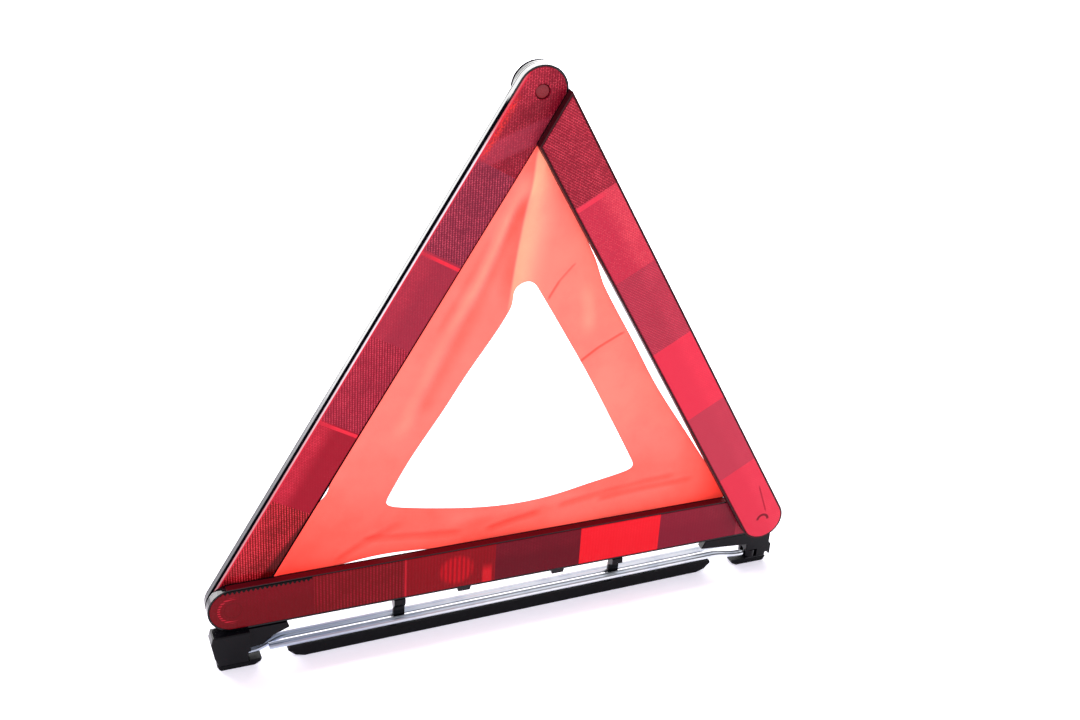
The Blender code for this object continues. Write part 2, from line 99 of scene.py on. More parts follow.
class Signal:
    """A node's output, so that arithmetic on it reads as plain arithmetic."""

    def __init__(self, graph, socket):
        self.graph = graph
        self.socket = socket

    def __add__(self, other):
        return self.graph.math("ADD", self, other)

    def __sub__(self, other):
        return self.graph.math("SUBTRACT", self, other)

    def __rsub__(self, other):
        return self.graph.math("SUBTRACT", other, self)

    def __mul__(self, other):
        return self.graph.math("MULTIPLY", self, other)

    def __truediv__(self, other):
        return self.graph.math("DIVIDE", self, other)

    def __abs__(self):
        return self.graph.math("ABSOLUTE", self)

    def zigzag(self, reach):
        """Rises from 0 to reach and falls back, over and over."""
        return self.graph.math("PINGPONG", self, reach)

    def snap(self, pitch):
        return self.graph.math("SNAP", self, pitch)

    def smooth(self, low, high, start=0.0, end=1.0):
        """start below low, end above high, and a smooth change in between."""
        made = self.graph.add("ShaderNodeMapRange", interpolation_type="SMOOTHSTEP")
        for socket, given in zip(made.inputs, (self, low, high, start, end)):
            self.graph.feed(socket, given)
        return Signal(self.graph, made.outputs[0])

    def within(self, low, high, soft=0.0003):
        """1 between low and high, with a short soft edge."""
        return self.smooth(low - soft, low + soft) * self.smooth(high - soft, high + soft, 1.0, 0.0)

    def dot(self, direction):
        made = self.graph.vector_math("DOT_PRODUCT", self, direction)
        return Signal(self.graph, made.outputs["Value"])

    def shift(self, offset):
        made = self.graph.vector_math("SUBTRACT", self, offset)
        return Signal(self.graph, made.outputs["Vector"])

    def stretch(self, scale):
        made = self.graph.vector_math("MULTIPLY", self, scale)
        return Signal(self.graph, made.outputs["Vector"])


class Graph:
    """A material's node tree, with one short call for each kind of node it uses."""

    def __init__(self, name):
        self.material = bpy.data.materials.new(name)
        self.material.use_nodes = True
        self.tree = self.material.node_tree
        self.tree.nodes.clear()
        output = self.add("ShaderNodeOutputMaterial")
        self.shader = self.add("ShaderNodeBsdfPrincipled")
        self.tree.links.new(self.shader.outputs[0], output.inputs["Surface"])
        self.place = Signal(self, self.add("ShaderNodeTexCoord").outputs["Object"])

    def add(self, kind, **settings):
        made = self.tree.nodes.new(kind)
        for key, value in settings.items():
            setattr(made, key, value)
        return made

    def feed(self, socket, value):
        if isinstance(value, Signal):
            self.tree.links.new(value.socket, socket)
        elif value is not None:
            socket.default_value = value

    def math(self, operation, first, second=None, clamp=False):
        made = self.add("ShaderNodeMath", operation=operation, use_clamp=clamp)
        for socket, value in zip(made.inputs, (first, second)):
            self.feed(socket, value)
        return Signal(self, made.outputs[0])

    def vector_math(self, operation, first, second):
        made = self.add("ShaderNodeVectorMath", operation=operation)
        self.feed(made.inputs[0], first)
        self.feed(made.inputs[1], tuple(second))
        return made

    def noise(self, vector, scale, detail=3.0, roughness=0.5):
        made = self.add("ShaderNodeTexNoise")
        self.feed(made.inputs["Vector"], vector)
        self.feed(made.inputs["Scale"], scale)
        self.feed(made.inputs["Detail"], detail)
        self.feed(made.inputs["Roughness"], roughness)
        return Signal(self, made.outputs["Fac"])

    def sparkle(self, x, y):
        """A value of its own for every pair of x and y."""
        place = self.add("ShaderNodeCombineXYZ")
        self.feed(place.inputs[0], x)
        self.feed(place.inputs[1], y)
        made = self.add("ShaderNodeTexWhiteNoise", noise_dimensions="3D")
        self.tree.links.new(place.outputs[0], made.inputs["Vector"])
        return Signal(self, made.outputs["Value"])

    def steps(self, value, stops, interpolation="CONSTANT"):
        made = self.add("ShaderNodeValToRGB")
        ramp = made.color_ramp
        ramp.interpolation = interpolation
        while len(ramp.elements) < len(stops):
            ramp.elements.new(1.0)
        for element, (position, colour) in zip(ramp.elements, stops):
            element.position = position
            element.color = colour
        self.feed(made.inputs[0], value)
        return Signal(self, made.outputs["Color"])

    def split(self, kind, whole):
        """The three parts of a colour or a vector."""
        made = self.add(kind)
        self.feed(made.inputs[0], whole)
        return [Signal(self, part) for part in made.outputs[:3]]

    def mix(self, share, first, second):
        made = self.add("ShaderNodeMix", data_type="RGBA", blend_type="MIX")
        made.clamp_factor = True
        self.feed(made.inputs["Factor"], share)
        self.feed(made.inputs[6], first)
        self.feed(made.inputs[7], second)
        return Signal(self, made.outputs[2])

    def bump(self, height, distance, strength):
        made = self.add("ShaderNodeBump")
        self.feed(made.inputs["Height"], height)
        self.feed(made.inputs["Distance"], distance)
        self.feed(made.inputs["Strength"], strength)
        self.tree.links.new(made.outputs[0], self.shader.inputs["Normal"])

    def set(self, **sockets):
        for name, value in sockets.items():
            self.feed(self.shader.inputs[name.replace("_", " ")], value)


# How much brighter than its own colour a lens shows in this studio
LENS_LIGHT = 1.28
LENS_HAZE = 0.014


def lit(red, green, blue):
    """The lens colour that shows as the given 0-255 colour in the studio."""
    shown = srgb(red, green, blue)
    return (*[max(0.0, value - LENS_HAZE) / LENS_LIGHT for value in shown[:3]], 1.0)


# Patches of each reflector from the pivot outwards: ground colour, ridge colour, and how much of
# each pattern shows (cube corners, ribs, bright outer band). How bright a patch, its ridges and its
# outer band are is painted reflection of the studio in the prisms
BASE_PATCHES = (
    (lit(116, 24, 36), lit(138, 31, 44), (0.25, 0.10, 0.30)),
    (lit(114, 22, 33), lit(164, 38, 52), (0.00, 0.85, 0.10)),
    (lit(138, 25, 37), lit(172, 31, 44), (0.00, 0.30, 0.10)),
    (lit(106, 28, 41), lit(132, 36, 48), (0.10, 0.10, 0.55)),
    (lit(244, 38, 49), lit(255, 45, 57), (0.10, 0.25, 0.35)),
    (lit(134, 39, 55), lit(166, 49, 64), (0.06, 0.08, 0.30)),
    (lit(162, 50, 66), lit(205, 61, 79), (0.10, 0.10, 0.40)),
)
LEFT_PATCHES = (
    (lit(108, 18, 28), lit(250, 66, 80), (0.55, 0.80, 0.20)),
    (lit(163, 36, 51), lit(228, 60, 79), (0.15, 0.05, 0.75)),
    (lit(140, 38, 54), lit(226, 70, 90), (0.45, 0.75, 0.15)),
    (lit(162, 50, 68), lit(222, 66, 84), (0.30, 0.10, 0.35)),
    (lit(122, 42, 60), lit(240, 90, 112), (0.60, 0.45, 0.05)),
    (lit(134, 36, 50), lit(240, 76, 94), (0.95, 0.25, 0.25)),
)
RIGHT_PATCHES = (
    (lit(228, 58, 79), lit(248, 72, 92), (0.05, 0.05, 0.60)),
    (lit(196, 62, 81), lit(216, 70, 91), (0.10, 0.10, 0.50)),
    (lit(232, 57, 79), lit(254, 68, 90), (0.10, 0.05, 0.60)),
    (lit(176, 56, 74), lit(222, 72, 93), (0.25, 0.60, 0.35)),
    (lit(202, 54, 76), lit(255, 92, 104), (0.70, 0.05, 0.50)),
    (lit(144, 40, 54), lit(250, 84, 102), (0.95, 0.30, 0.10)),
    (lit(144, 40, 54), lit(230, 78, 98), (0.80, 0.25, 0.10)),
)


def base_marks(graph, run, side, radius, colour):
    """The base lens: a toothed top edge and a dotted crescent of painted reflection at its left
    end, a painted highlight on a step, a striped round painted highlight, a painted highlight on
    the lower corner of a patch, and a ring about the pivot."""
    toothed_run = (-0.0200, 0.0555)
    tooth_root = LENS_HALF - 0.0006
    tooth_half_width, tooth_steepness = 0.0016, 1.4
    above = side - tooth_root + run.zigzag(tooth_half_width) * tooth_steepness
    teeth = above.smooth(-0.0002, 0.0002) * run.within(*toothed_run)
    colour = graph.mix(teeth, colour, lit(34, 12, 20))

    # A dotted crescent of painted reflection at the left end
    crescent_ring, dot_half_pitch = (0.0090, 0.0108), 0.0010
    dots = side.zigzag(dot_half_pitch).smooth(0.0002, 0.0008) * 0.8
    crescent_reflection = radius.within(*crescent_ring) * run.smooth(-0.002, 0.004, 1.0, 0.0)
    colour = graph.mix(crescent_reflection * dots, colour, lit(206, 44, 60))

    # A striped round painted highlight
    spot_run, spot_side = 0.1615, -0.0005
    spot_half_length, spot_half_height = 0.0140, 0.0130
    stripe_run, stripe_half_pitch = 0.1600, 0.0017
    wide = (run - spot_run) / spot_half_length
    tall = (side - spot_side) / spot_half_height
    spot = (wide * wide + tall * tall).smooth(0.45, 1.15, 1.0, 0.0) * 0.72
    stripe = (run - stripe_run).zigzag(stripe_half_pitch).smooth(0.0004, 0.0013, 1.0, 0.25)
    colour = graph.mix(spot * stripe, colour, lit(222, 34, 44))

    # Painted highlights on a step and on the lower corner of a patch
    step_run, corner_run, boss_ring = (0.1222, 0.1236), (0.1815, 0.1885), (0.0058, 0.0064)
    colour = graph.mix(run.within(*step_run) * 0.7, colour, lit(222, 44, 58))
    corner = run.within(*corner_run, soft=0.001) * side.smooth(-0.007, 0.002, 0.8, 0.0)
    colour = graph.mix(corner, colour, lit(226, 42, 50))
    return graph.mix(radius.within(*boss_ring) * 0.45, colour, lit(84, 12, 24))


def left_marks(graph, run, side, radius, colour):
    """The left lens: painted shade at its foot and in a wedge up the inner side by the base bar,
    painted highlights on two steps, a pale band of painted reflection and a dark slanting band of
    painted shade with bright scales of painted glints near the tip, and a painted highlight along
    the outer edge and on the outer lip."""
    # Painted shade near the base bar: at the foot of the lens and in a wedge up its inner side
    wedge_slope, wedge_side = 0.13, 0.0105 - LENS_HALF
    foot_end = (0.0150, 0.0185)
    shade_wedge = (run * wedge_slope + side - wedge_side).smooth(-0.001, 0.002, 0.85, 0.0)
    dark = graph.math("MAXIMUM", shade_wedge, run.smooth(*foot_end, 0.7, 0.0))
    colour = graph.mix(dark, colour, lit(74, 15, 25))

    # Painted highlights just below two patch steps
    step_ends, step_width = (0.1505, 0.2846), 0.0025
    inner = side.smooth(-0.002, 0.012, 0.95, 0.35)
    for step_end in step_ends:
        step_highlight = run.within(step_end - step_width, step_end) * inner
        colour = graph.mix(step_highlight, colour, lit(246, 54, 72))

    # A pale slanting band of painted reflection and a dark slanting band of painted shade near the
    # tip
    band_slope, band_run = 1.3, 0.372
    pale_run, shade_run, scales_run = (0.352, 0.405), (0.352, 0.420), (0.356, 0.398)
    slanting = side * band_slope + run - band_run
    pale_highlight = slanting.within(-0.012, 0.010, soft=0.003) * run.within(*pale_run, soft=0.004) * 0.4
    colour = graph.mix(pale_highlight, colour, lit(192, 72, 94))
    shade = slanting.within(0.014, 0.032, soft=0.004) * run.within(*shade_run, soft=0.004) * 0.35
    colour = graph.mix(shade, colour, lit(120, 26, 42))
    # Bright scales near the tip are painted glints
    scale_glints = run.within(*scales_run, soft=0.006) * side.smooth(0.0090, 0.0125) * 0.85
    speck = graph.noise(graph.place, scale=620.0, detail=1.0).smooth(0.42, 0.60, 0.25, 1.0)
    colour = graph.mix(scale_glints * speck, colour, lit(248, 62, 60))

    # A painted highlight along the outer edge, and a white painted highlight on the outer lip
    line_side = (LENS_HALF - 0.0024, LENS_HALF - 0.0018)
    lip_side = (LENS_HALF - 0.0013, LENS_HALF - 0.0008)
    lip_grows, lip_fades = (0.080, 0.220), (0.355, 0.385)
    colour = graph.mix(side.smooth(*line_side) * 0.7, colour, lit(234, 46, 66))
    lip = side.smooth(*lip_side) * run.smooth(*lip_grows, 0.35, 0.95)
    return graph.mix(lip * run.smooth(*lip_fades, 1.0, 0.1), colour, lit(250, 238, 244))


def right_marks(graph, run, side, radius, colour):
    """The right lens: a painted highlight on a step, fading outwards, and at the pivot half a ring
    and a short scratch above it."""
    # The step carries a painted highlight that fades outwards
    step_run, ring, ring_tilt = (0.3235, 0.3268), (0.0034, 0.0054), 0.57
    step_highlight = run.within(*step_run) * side.smooth(0.000, 0.010, 0.9, 0.0)
    colour = graph.mix(step_highlight, colour, lit(242, 64, 86))
    upper = (side * ring_tilt + run).smooth(-0.001, 0.001)
    colour = graph.mix(radius.within(*ring) * upper * 0.85, colour, lit(92, 20, 38))

    scratch_run, scratch_side, scratch_slope = (0.0060, 0.0310), 0.0044, 0.17
    drift = abs(run * scratch_slope - side + scratch_side)
    scratch = drift.smooth(0.0003, 0.0009, 1.0, 0.0) * run.within(*scratch_run, soft=0.002) * 0.7
    return graph.mix(scratch, colour, lit(156, 30, 48))


def lens_look(name, pivot, along, outward, rib_turn, pitch, first, patches, marks):
    """Moulded red reflector: prisms in patches along the bar, the bar's own marks and fine
    scratches on a glossy face. The bright dots, ribs and band of the prisms are painted reflection,
    and the faint glow is painted light. first is where the second patch starts, and rib_turn says
    which of the three sets of grooves makes the ribs."""
    graph = Graph(name)
    local = graph.place.shift(pivot)
    run = local.dot(along)
    side = local.dot(outward)
    share = (run + LENS_HALF) / LENS_LENGTH
    starts = [0.0] + [
        (first + PATCH_PITCH * i + LENS_HALF) / LENS_LENGTH for i in range(len(patches) - 1)
    ]
    ground = graph.steps(share, [(at, kind[0]) for at, kind in zip(starts, patches)])
    ridge = graph.steps(share, [(at, kind[1]) for at, kind in zip(starts, patches)])
    amounts = graph.steps(share, [(at, (*kind[2], 1.0)) for at, kind in zip(starts, patches)])
    cubes, ribs, band = graph.split("ShaderNodeSeparateColor", amounts)

    # Three sets of grooves, 60 degrees apart, make the corner cubes
    waves = []
    for turn in (0, 60, 120):
        across = along * math.cos(math.radians(turn)) + outward * math.sin(math.radians(turn))
        waves.append(local.dot(across).zigzag(pitch / 2) / (pitch / 2))
    corner = graph.math("MINIMUM", waves[0], graph.math("MINIMUM", waves[1], waves[2]))
    rib = waves[rib_turn]
    turn = math.radians(60 * rib_turn + 90)
    down_rib = local.dot(along * math.cos(turn) + outward * math.sin(turn))
    bead = down_rib.zigzag(BEAD_HALF) / BEAD_HALF

    # Each prism catches the light a little differently: painted reflection, varied from prism to
    # prism
    cell = graph.sparkle(run.snap(pitch), side.snap(pitch * 0.75))
    tilt = graph.noise(local, scale=60.0, detail=2.0)
    dots = corner.smooth(0.25, 0.62) * cell.smooth(0.1, 0.9)
    lines = rib.smooth(0.35, 0.75) * bead.smooth(0.15, 0.65, 0.25, 1.15)
    lines = lines * cell.smooth(0.0, 1.0, 0.65, 1.0)
    # The bright band along the outer side is painted reflection in the prisms
    band_reflection = side.smooth(-LENS_HALF * 0.10, LENS_HALF * 0.55)
    band_reflection = band_reflection * corner.smooth(0.05, 0.45, 0.35, 1.0) * cell.smooth(0.0, 1.0, 0.75, 1.0)
    light = dots * cubes + lines * ribs + band_reflection * band
    light = graph.math("MULTIPLY", light, tilt.smooth(0.3, 0.7, 0.70, 1.25), clamp=True)
    colour = graph.mix(light, ground, ridge)

    # The bar's own marks, painted highlights and painted shade among them, and the thin moulded
    # border of the lens on its inner side
    radius = graph.math("SQRT", run * run + side * side)
    colour = marks(graph, run, side, radius, colour)
    border = (side * -1.0).smooth(LENS_HALF - 0.0008, LENS_HALF - 0.0003) * 0.45
    colour = graph.mix(border, colour, lit(70, 14, 24))

    scuff = graph.noise(local.stretch((900, 900, 140)), scale=1.0, detail=4.0, roughness=0.65)
    # The faint glow in the lens's own colour is painted light
    graph.set(
        Base_Color=colour,
        Roughness=scuff.smooth(0.30, 0.75, 0.10, 0.26),
        IOR=1.49,
        Specular_IOR_Level=0.12,
        Emission_Color=colour,
        Emission_Strength=0.05,
    )
    graph.bump(corner * cubes + rib * ribs + scuff * 0.05, distance=0.00025, strength=0.55)
    return graph.material


def black_look(name, gloss, own=None):
    """Black moulding with faint flow marks, dust and rubbed patches. own, given the graph, returns
    how matt the surface is and how much the red of the lens shows in it."""
    graph = Graph(name)
    flow = graph.noise(graph.place.stretch((18, 60, 60)), scale=1.0)
    grain = graph.noise(graph.place, scale=900.0, detail=2.0)
    rubbed = graph.noise(graph.place, scale=55.0, detail=5.0, roughness=0.7)
    wear = rubbed.smooth(0.60, 0.78)
    colour = graph.mix(flow, srgb(3, 3, 6), srgb(10, 9, 14))
    colour = graph.mix(wear * 0.22, colour, srgb(38, 36, 44))
    matt, red = own(graph) if own else (0.0, 0.0)
    colour = graph.mix(red, colour, srgb(92, 8, 20))
    graph.set(
        Base_Color=colour,
        Roughness=wear * 0.14 + flow.smooth(0.3, 0.7, 0.10, 0.18) + matt * 0.55,
        IOR=1.45,
        Specular_IOR_Level=gloss - matt * gloss,
    )
    graph.bump(rubbed * 0.4 + grain, distance=0.00004, strength=0.35)
    return graph.material


def arm_edges(graph):
    """The left arm's moulding is matt beside its lens, and along its back edge at the tip."""
    lean = Vector((0.0, 1.0, 0.007)).normalized()
    lens_rim, back_rim, soft = 0.0023, 0.0012, 0.0002
    vertices = NODES["left_arm_channel"].data.vertices
    depths = [(vertex.co - LEFT_PIVOT).dot(lean) for vertex in vertices]
    front = min(depths) + lens_rim
    back = max(depths) - back_rim
    local = graph.place.shift(LEFT_PIVOT)
    depth = local.dot(lean)
    tip = local.dot(ALONG_LEFT).smooth(0.392, 0.400)
    near = depth.smooth(front - soft, front + soft, 1.0, 0.0) * (1.0 - tip)
    far = depth.smooth(back - soft, back + soft) * tip
    return graph.math("MAXIMUM", near, far), 0.0


def base_edge(graph):
    """The red lens's lip turns over the top edge of the base bar."""
    top = PIVOT_Z + BAR_HALF
    lip = graph.place.dot((0.0, 0.0, 1.0)).smooth(top - 0.0006, top - 0.0002, 0.0, 0.85)
    return lip, lip


def tinted_edge(graph):
    """The right arm's moulding is less glossy, and the red of its lens shows in it."""
    return 0.45, 0.30


def keeper_rim(graph):
    """The latch keeper is matt along its back edge."""
    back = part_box("latch_keeper")[1].y
    return graph.place.dot((0.0, 1.0, 0.0)).smooth(back - 0.0032, back - 0.0026), 0.0


def rubber_look():
    """Matt black rubber with a fine stipple and dusty patches."""
    graph = Graph("foot_rubber")
    stipple = graph.noise(graph.place, scale=1600.0, detail=2.0)
    dust = graph.noise(graph.place, scale=90.0, detail=5.0, roughness=0.65)
    graph.set(
        Base_Color=graph.mix(dust.smooth(0.52, 0.75, 0.0, 0.5), srgb(4, 4, 7), srgb(24, 22, 27)),
        Roughness=dust.smooth(0.3, 0.7, 0.48, 0.68),
        Specular_IOR_Level=0.10,
    )
    graph.bump(stipple, distance=0.00008, strength=0.5)
    return graph.material


def metal_look(name, light, dark, smoothest, roughest, lines, dark_reflection=None):
    """Bright metal with drawn lines along X, small stains and uneven polish. The last argument, if
    given, says where along X a painted darker reflection starts and stops, darker towards the
    left, and its colour there."""
    graph = Graph(name)
    drawn = graph.noise(graph.place.stretch((lines / 40, lines, lines)), scale=1.0)
    stain = graph.noise(graph.place, scale=70.0, detail=5.0, roughness=0.6)
    colour = graph.mix(stain.smooth(0.45, 0.75), light, dark)
    # Painted darker reflection towards the left
    if dark_reflection:
        left, right, dark_reflection_colour = dark_reflection
        run = graph.place.dot((1.0, 0.0, 0.0))
        colour = graph.mix(run.smooth(left, right, 1.0, 0.0), colour, dark_reflection_colour)
    graph.set(
        Base_Color=colour,
        Metallic=1.0,
        Roughness=drawn * (roughest - smoothest) + smoothest,
    )
    graph.bump(drawn, distance=0.000006, strength=0.15)
    return graph.material


def stud_look():
    """Dark red moulded snap stud with a fine grain."""
    graph = Graph("stud_red")
    grain = graph.noise(graph.place, scale=700.0)
    shade = graph.noise(graph.place, scale=120.0)
    graph.set(
        Base_Color=graph.mix(shade, srgb(92, 12, 22), srgb(150, 22, 36)),
        Roughness=grain.smooth(0.3, 0.7, 0.22, 0.36),
        Specular_IOR_Level=0.3,
    )
    graph.bump(grain, distance=0.00005, strength=0.4)
    return graph.material


# Creases of the cloth, in X and Z from the middle between the pivots: start, end, half width,
# how far they stand back, and tone (1 pale, -1 deep): painted highlight above 0, painted shade
# below
CREASES = (
    ((-0.0016, 0.2983), (-0.0329, 0.2276), 0.0042, -0.0012, 0.50),
    ((-0.0329, 0.2276), (-0.0491, 0.1965), 0.0042, -0.0010, 0.38),
    ((-0.0044, 0.2814), (-0.0323, 0.2129), 0.0038, 0.0014, -0.30),
    ((-0.0323, 0.2129), (-0.0720, 0.1330), 0.0055, 0.0014, -0.34),
    ((-0.0491, 0.1965), (-0.0860, 0.1180), 0.0045, -0.0010, 0.24),
    ((-0.0250, 0.2560), (-0.0590, 0.1930), 0.0030, 0.0010, -0.20),
    ((0.0170, 0.2077), (0.0244, 0.2195), 0.0009, 0.0008, -0.75),
    ((0.0244, 0.2195), (0.0352, 0.2316), 0.0008, 0.0008, -0.55),
    ((0.0441, 0.1562), (0.0570, 0.1655), 0.0009, 0.0009, -0.85),
    ((0.0570, 0.1655), (0.0752, 0.1757), 0.0009, 0.0009, -0.80),
    ((0.0456, 0.2110), (0.0489, 0.1799), 0.0040, -0.0010, 0.28),
    ((-0.1298, 0.0196), (-0.1137, 0.0288), 0.0022, 0.0010, -0.40),
    ((-0.1137, 0.0288), (-0.0867, 0.0422), 0.0028, 0.0010, -0.35),
    ((-0.1094, 0.0340), (-0.0397, 0.0267), 0.0024, 0.0012, -0.40),
    ((-0.0174, 0.0240), (0.0204, 0.0324), 0.0024, 0.0012, -0.55),
    ((0.0376, 0.0362), (0.1283, 0.0461), 0.0026, 0.0012, -0.35),
    ((0.0699, 0.0345), (0.1442, 0.0405), 0.0022, 0.0010, -0.40),
    ((-0.0500, 0.0400), (0.0500, 0.0440), 0.0050, -0.0010, 0.22),
)
PLEAT_TOP = Vector((0.0022, 0.0, 0.3138))
PLEAT_FOOT = Vector((-0.0105, 0.0, 0.2199))

# The cloth's colour by tone, from deep to pale; the tone carries the painted shade and highlights
# of the creases and pleat
CLOTH_TONES = (
    (0.00, srgb(255, 50, 38)),
    (0.25, srgb(252, 70, 58)),
    (0.50, srgb(255, 96, 85)),
    (0.75, srgb(255, 120, 101)),
    (1.00, srgb(255, 146, 113)),
)


def crease_tone(graph, start, end, width, shade):
    """The painted highlight and shade that one crease adds to the tone."""
    way = Vector((end[0] - start[0], 0.0, end[1] - start[1]))
    across = Vector((way.z, 0.0, -way.x)).normalized()
    local = graph.place.shift((start[0], 0.0, start[1] + PIVOT_Z))
    body = abs(local.dot(across)).smooth(0.0, width * 2, 1.0, 0.0)
    return body * local.dot(way.normalized()).within(0.0, way.length, width * 2) * shade


def pleat_tone(graph):
    """The long pleat under the top corner: painted shade on its left, a painted highlight fading on
    its right.
    """
    way = PLEAT_FOOT - PLEAT_TOP
    across = Vector((-way.z, 0.0, way.x)).normalized()
    local = graph.place.shift((PLEAT_TOP.x, 0.0, PLEAT_TOP.z + PIVOT_Z))
    off = local.dot(across)
    run = local.dot(way.normalized())
    pale_highlight = off.smooth(-0.0012, 0.0012) * off.smooth(0.002, 0.026, 0.85, 0.05)
    deep = off.smooth(-0.014, -0.0005) * off.smooth(-0.0008, 0.0008, -0.30, 0.0)
    return (pale_highlight + deep) * run.smooth(way.length - 0.004, way.length + 0.030, 1.0, 0.0)


def cloth_look(bottom):
    """Translucent fluorescent cloth: fine weave, deeper red at the lower corners, paler on the
    right, and painted shade and highlights along its creases and pleat. bottom is the height of its
    lower edge."""
    graph = Graph("fluorescent_weave")
    x, _, z = graph.split("ShaderNodeSeparateXYZ", graph.place)
    cloud = graph.noise(graph.place, scale=26.0, detail=4.0, roughness=0.55)
    tone = z.smooth(bottom + 0.02, bottom + 0.10, -0.40, 0.0) + x.smooth(-0.02, 0.05) * 0.14
    # Painted shade and highlights along the creases and the pleat
    for start, end, width, _, shade in CREASES:
        tone = tone + crease_tone(graph, start, end, width, shade)
    tone = tone + pleat_tone(graph) + cloud.smooth(0.35, 0.75, 0.06, -0.14)
    low_corner = abs(x).smooth(0.118, 0.176) * z.smooth(bottom + 0.004, bottom + 0.050, 1.0, 0.0)
    tone = tone - low_corner * 0.75
    place = graph.math("ADD", tone * 0.5, 0.5, clamp=True)
    colour = graph.steps(place, CLOTH_TONES, "LINEAR")
    weave = graph.math("MAXIMUM", x.zigzag(THREAD), z.zigzag(THREAD)) / THREAD
    colour = graph.mix(weave.smooth(0.6, 1.0, 0.0, 0.08), colour, srgb(255, 180, 160))
    # The glow in the cloth's own colour stands for its fluorescence and also lifts its shaded
    # parts, so it is partly painted light
    graph.set(
        Base_Color=colour,
        Roughness=cloud.smooth(0.3, 0.7, 0.46, 0.62),
        Sheen_Weight=0.15,
        Sheen_Roughness=0.4,
        Specular_IOR_Level=0.25,
        Emission_Color=colour,
        Emission_Strength=0.42,
    )
    graph.bump(weave, distance=0.00006, strength=0.3)
    return graph.material


def paint_nodes():
    """Each CAD node keeps its shape and gets its finished material."""
    looks = {
        "black_plastic": black_look("black_moulding", 0.16),
        "black_rubber": rubber_look(),
        "red_plastic": stud_look(),
        "plated_steel": metal_look(
            "rivet_steel", srgb(204, 204, 208), srgb(150, 148, 152), 0.20, 0.42, 2200.0
        ),
        "chrome_wire": metal_look(
            "leg_chrome", srgb(240, 244, 251), srgb(220, 226, 238), 0.26, 0.34, 900.0,
            dark_reflection=(-0.16, 0.0, srgb(180, 188, 206)),
        ),
    }
    own_looks = {
        "base_lens": lens_look(
            "base_reflector", Vector((LEFT_PIVOT.x, 0.0, PIVOT_Z)), ALONG_BASE, OUT_BASE,
            0, BASE_PITCH, 0.0553, BASE_PATCHES, base_marks,
        ),
        "left_arm_lens": lens_look(
            "left_reflector", LEFT_PIVOT, ALONG_LEFT, OUT_LEFT,
            2, LEFT_PITCH, 0.0840, LEFT_PATCHES, left_marks,
        ),
        "right_arm_lens": lens_look(
            "right_reflector", RIGHT_PIVOT, ALONG_RIGHT, OUT_RIGHT,
            1, RIGHT_PITCH, 0.0577, RIGHT_PATCHES, right_marks,
        ),
        "left_arm_channel": black_look("left_arm_moulding", 0.42, arm_edges),
        "right_arm_channel": black_look("right_arm_moulding", 0.30, tinted_edge),
        "base_channel": black_look("base_moulding", 0.30, base_edge),
        "latch_keeper": black_look("keeper_moulding", 0.16, keeper_rim),
    }
    cover = black_look("cover_moulding", 0.42)
    for name, node in NODES.items():
        for slot in node.material_slots:
            kind = slot.material.name.split(".")[0]
            if name in own_looks:
                slot.material = own_looks[name]
            elif name.endswith("_back_cover"):
                slot.material = cover
            elif kind in looks:
                slot.material = looks[kind]


def wave(value, start, end):
    """0 at start, rising smoothly to 1 at end."""
    share = min(1.0, max(0.0, (value - start) / (end - start)))
    return share * share * (3 - 2 * share)


def hump(value, centre, width):
    """A smooth bump of height 1."""
    return math.exp(-(((value - centre) / width) ** 2))


# The sheet in X and Z from the middle between the pivots: how far it goes under the base bar, how
# far its top is from the arms' inner corner, and how far its right corner goes under the arm
SHEET_TUCK = 0.0035
SHEET_TOP_GAP = 0.0018
SHEET_RIGHT_TUCK = 0.0045
SHEET_TOP_WIDTH = 0.0030
HOLE_LEFT = Vector((-0.0970, 0.0625))
HOLE_RIGHT = Vector((0.0955, 0.0600))
HOLE_TOP_RIGHT = Vector((0.0030, 0.2264))
HOLE_TOP_LEFT = Vector((-0.0052, 0.2246))
# Into the sheet from its right edge, and from its left edge
FROM_RIGHT = Vector((-math.sin(RIGHT_SLANT), -math.cos(RIGHT_SLANT)))
FROM_LEFT = Vector((math.sin(RIGHT_SLANT), -math.cos(RIGHT_SLANT)))


def shape_bottom(share, outer, inner):
    """The lower edge rises at the left, and the hole's lower edge hangs."""
    rise, rise_x, rise_width = 0.0044, -0.088, 0.042
    sag, ripple = 0.0158, 0.0012
    outer.y += rise * hump(outer.x, rise_x, rise_width)
    inner.y -= sag * math.sin(math.pi * share) ** 0.75
    inner.y += ripple * math.sin(3 * math.pi * share) * share


def shape_right(share, outer, inner):
    """The right edge bows away from the arm and leaves a gap, wide below and narrow above."""
    gap, narrower, ripple, hole_bow = 0.0080, 0.4, 0.0003, 0.0020
    arch = math.sin(math.pi * share)
    bow = gap * arch**1.2 * (1 - narrower * wave(share, 0.66, 0.74))
    bow += ripple * math.sin(7 * math.pi * share) * arch
    outer += FROM_RIGHT * bow
    inner -= FROM_RIGHT * hole_bow * arch


def shape_left(share, length, outer, inner):
    """The left edge has a small nick low down, and the hole a notch below its top corner."""
    nick, nick_run, nick_width = 0.0014, 0.076, 0.005
    ripple, notch = 0.0010, 0.0046
    outer += FROM_LEFT * nick * hump((1 - share) * length, nick_run, nick_width)
    inner += FROM_LEFT * ripple * math.sin(2 * math.pi * share)
    depth = notch * wave(share, 0.055, 0.085) * (1 - 0.6 * wave(share, 0.12, 0.50))
    inner += FROM_LEFT * depth * wave(share, 0.95, 0.50)


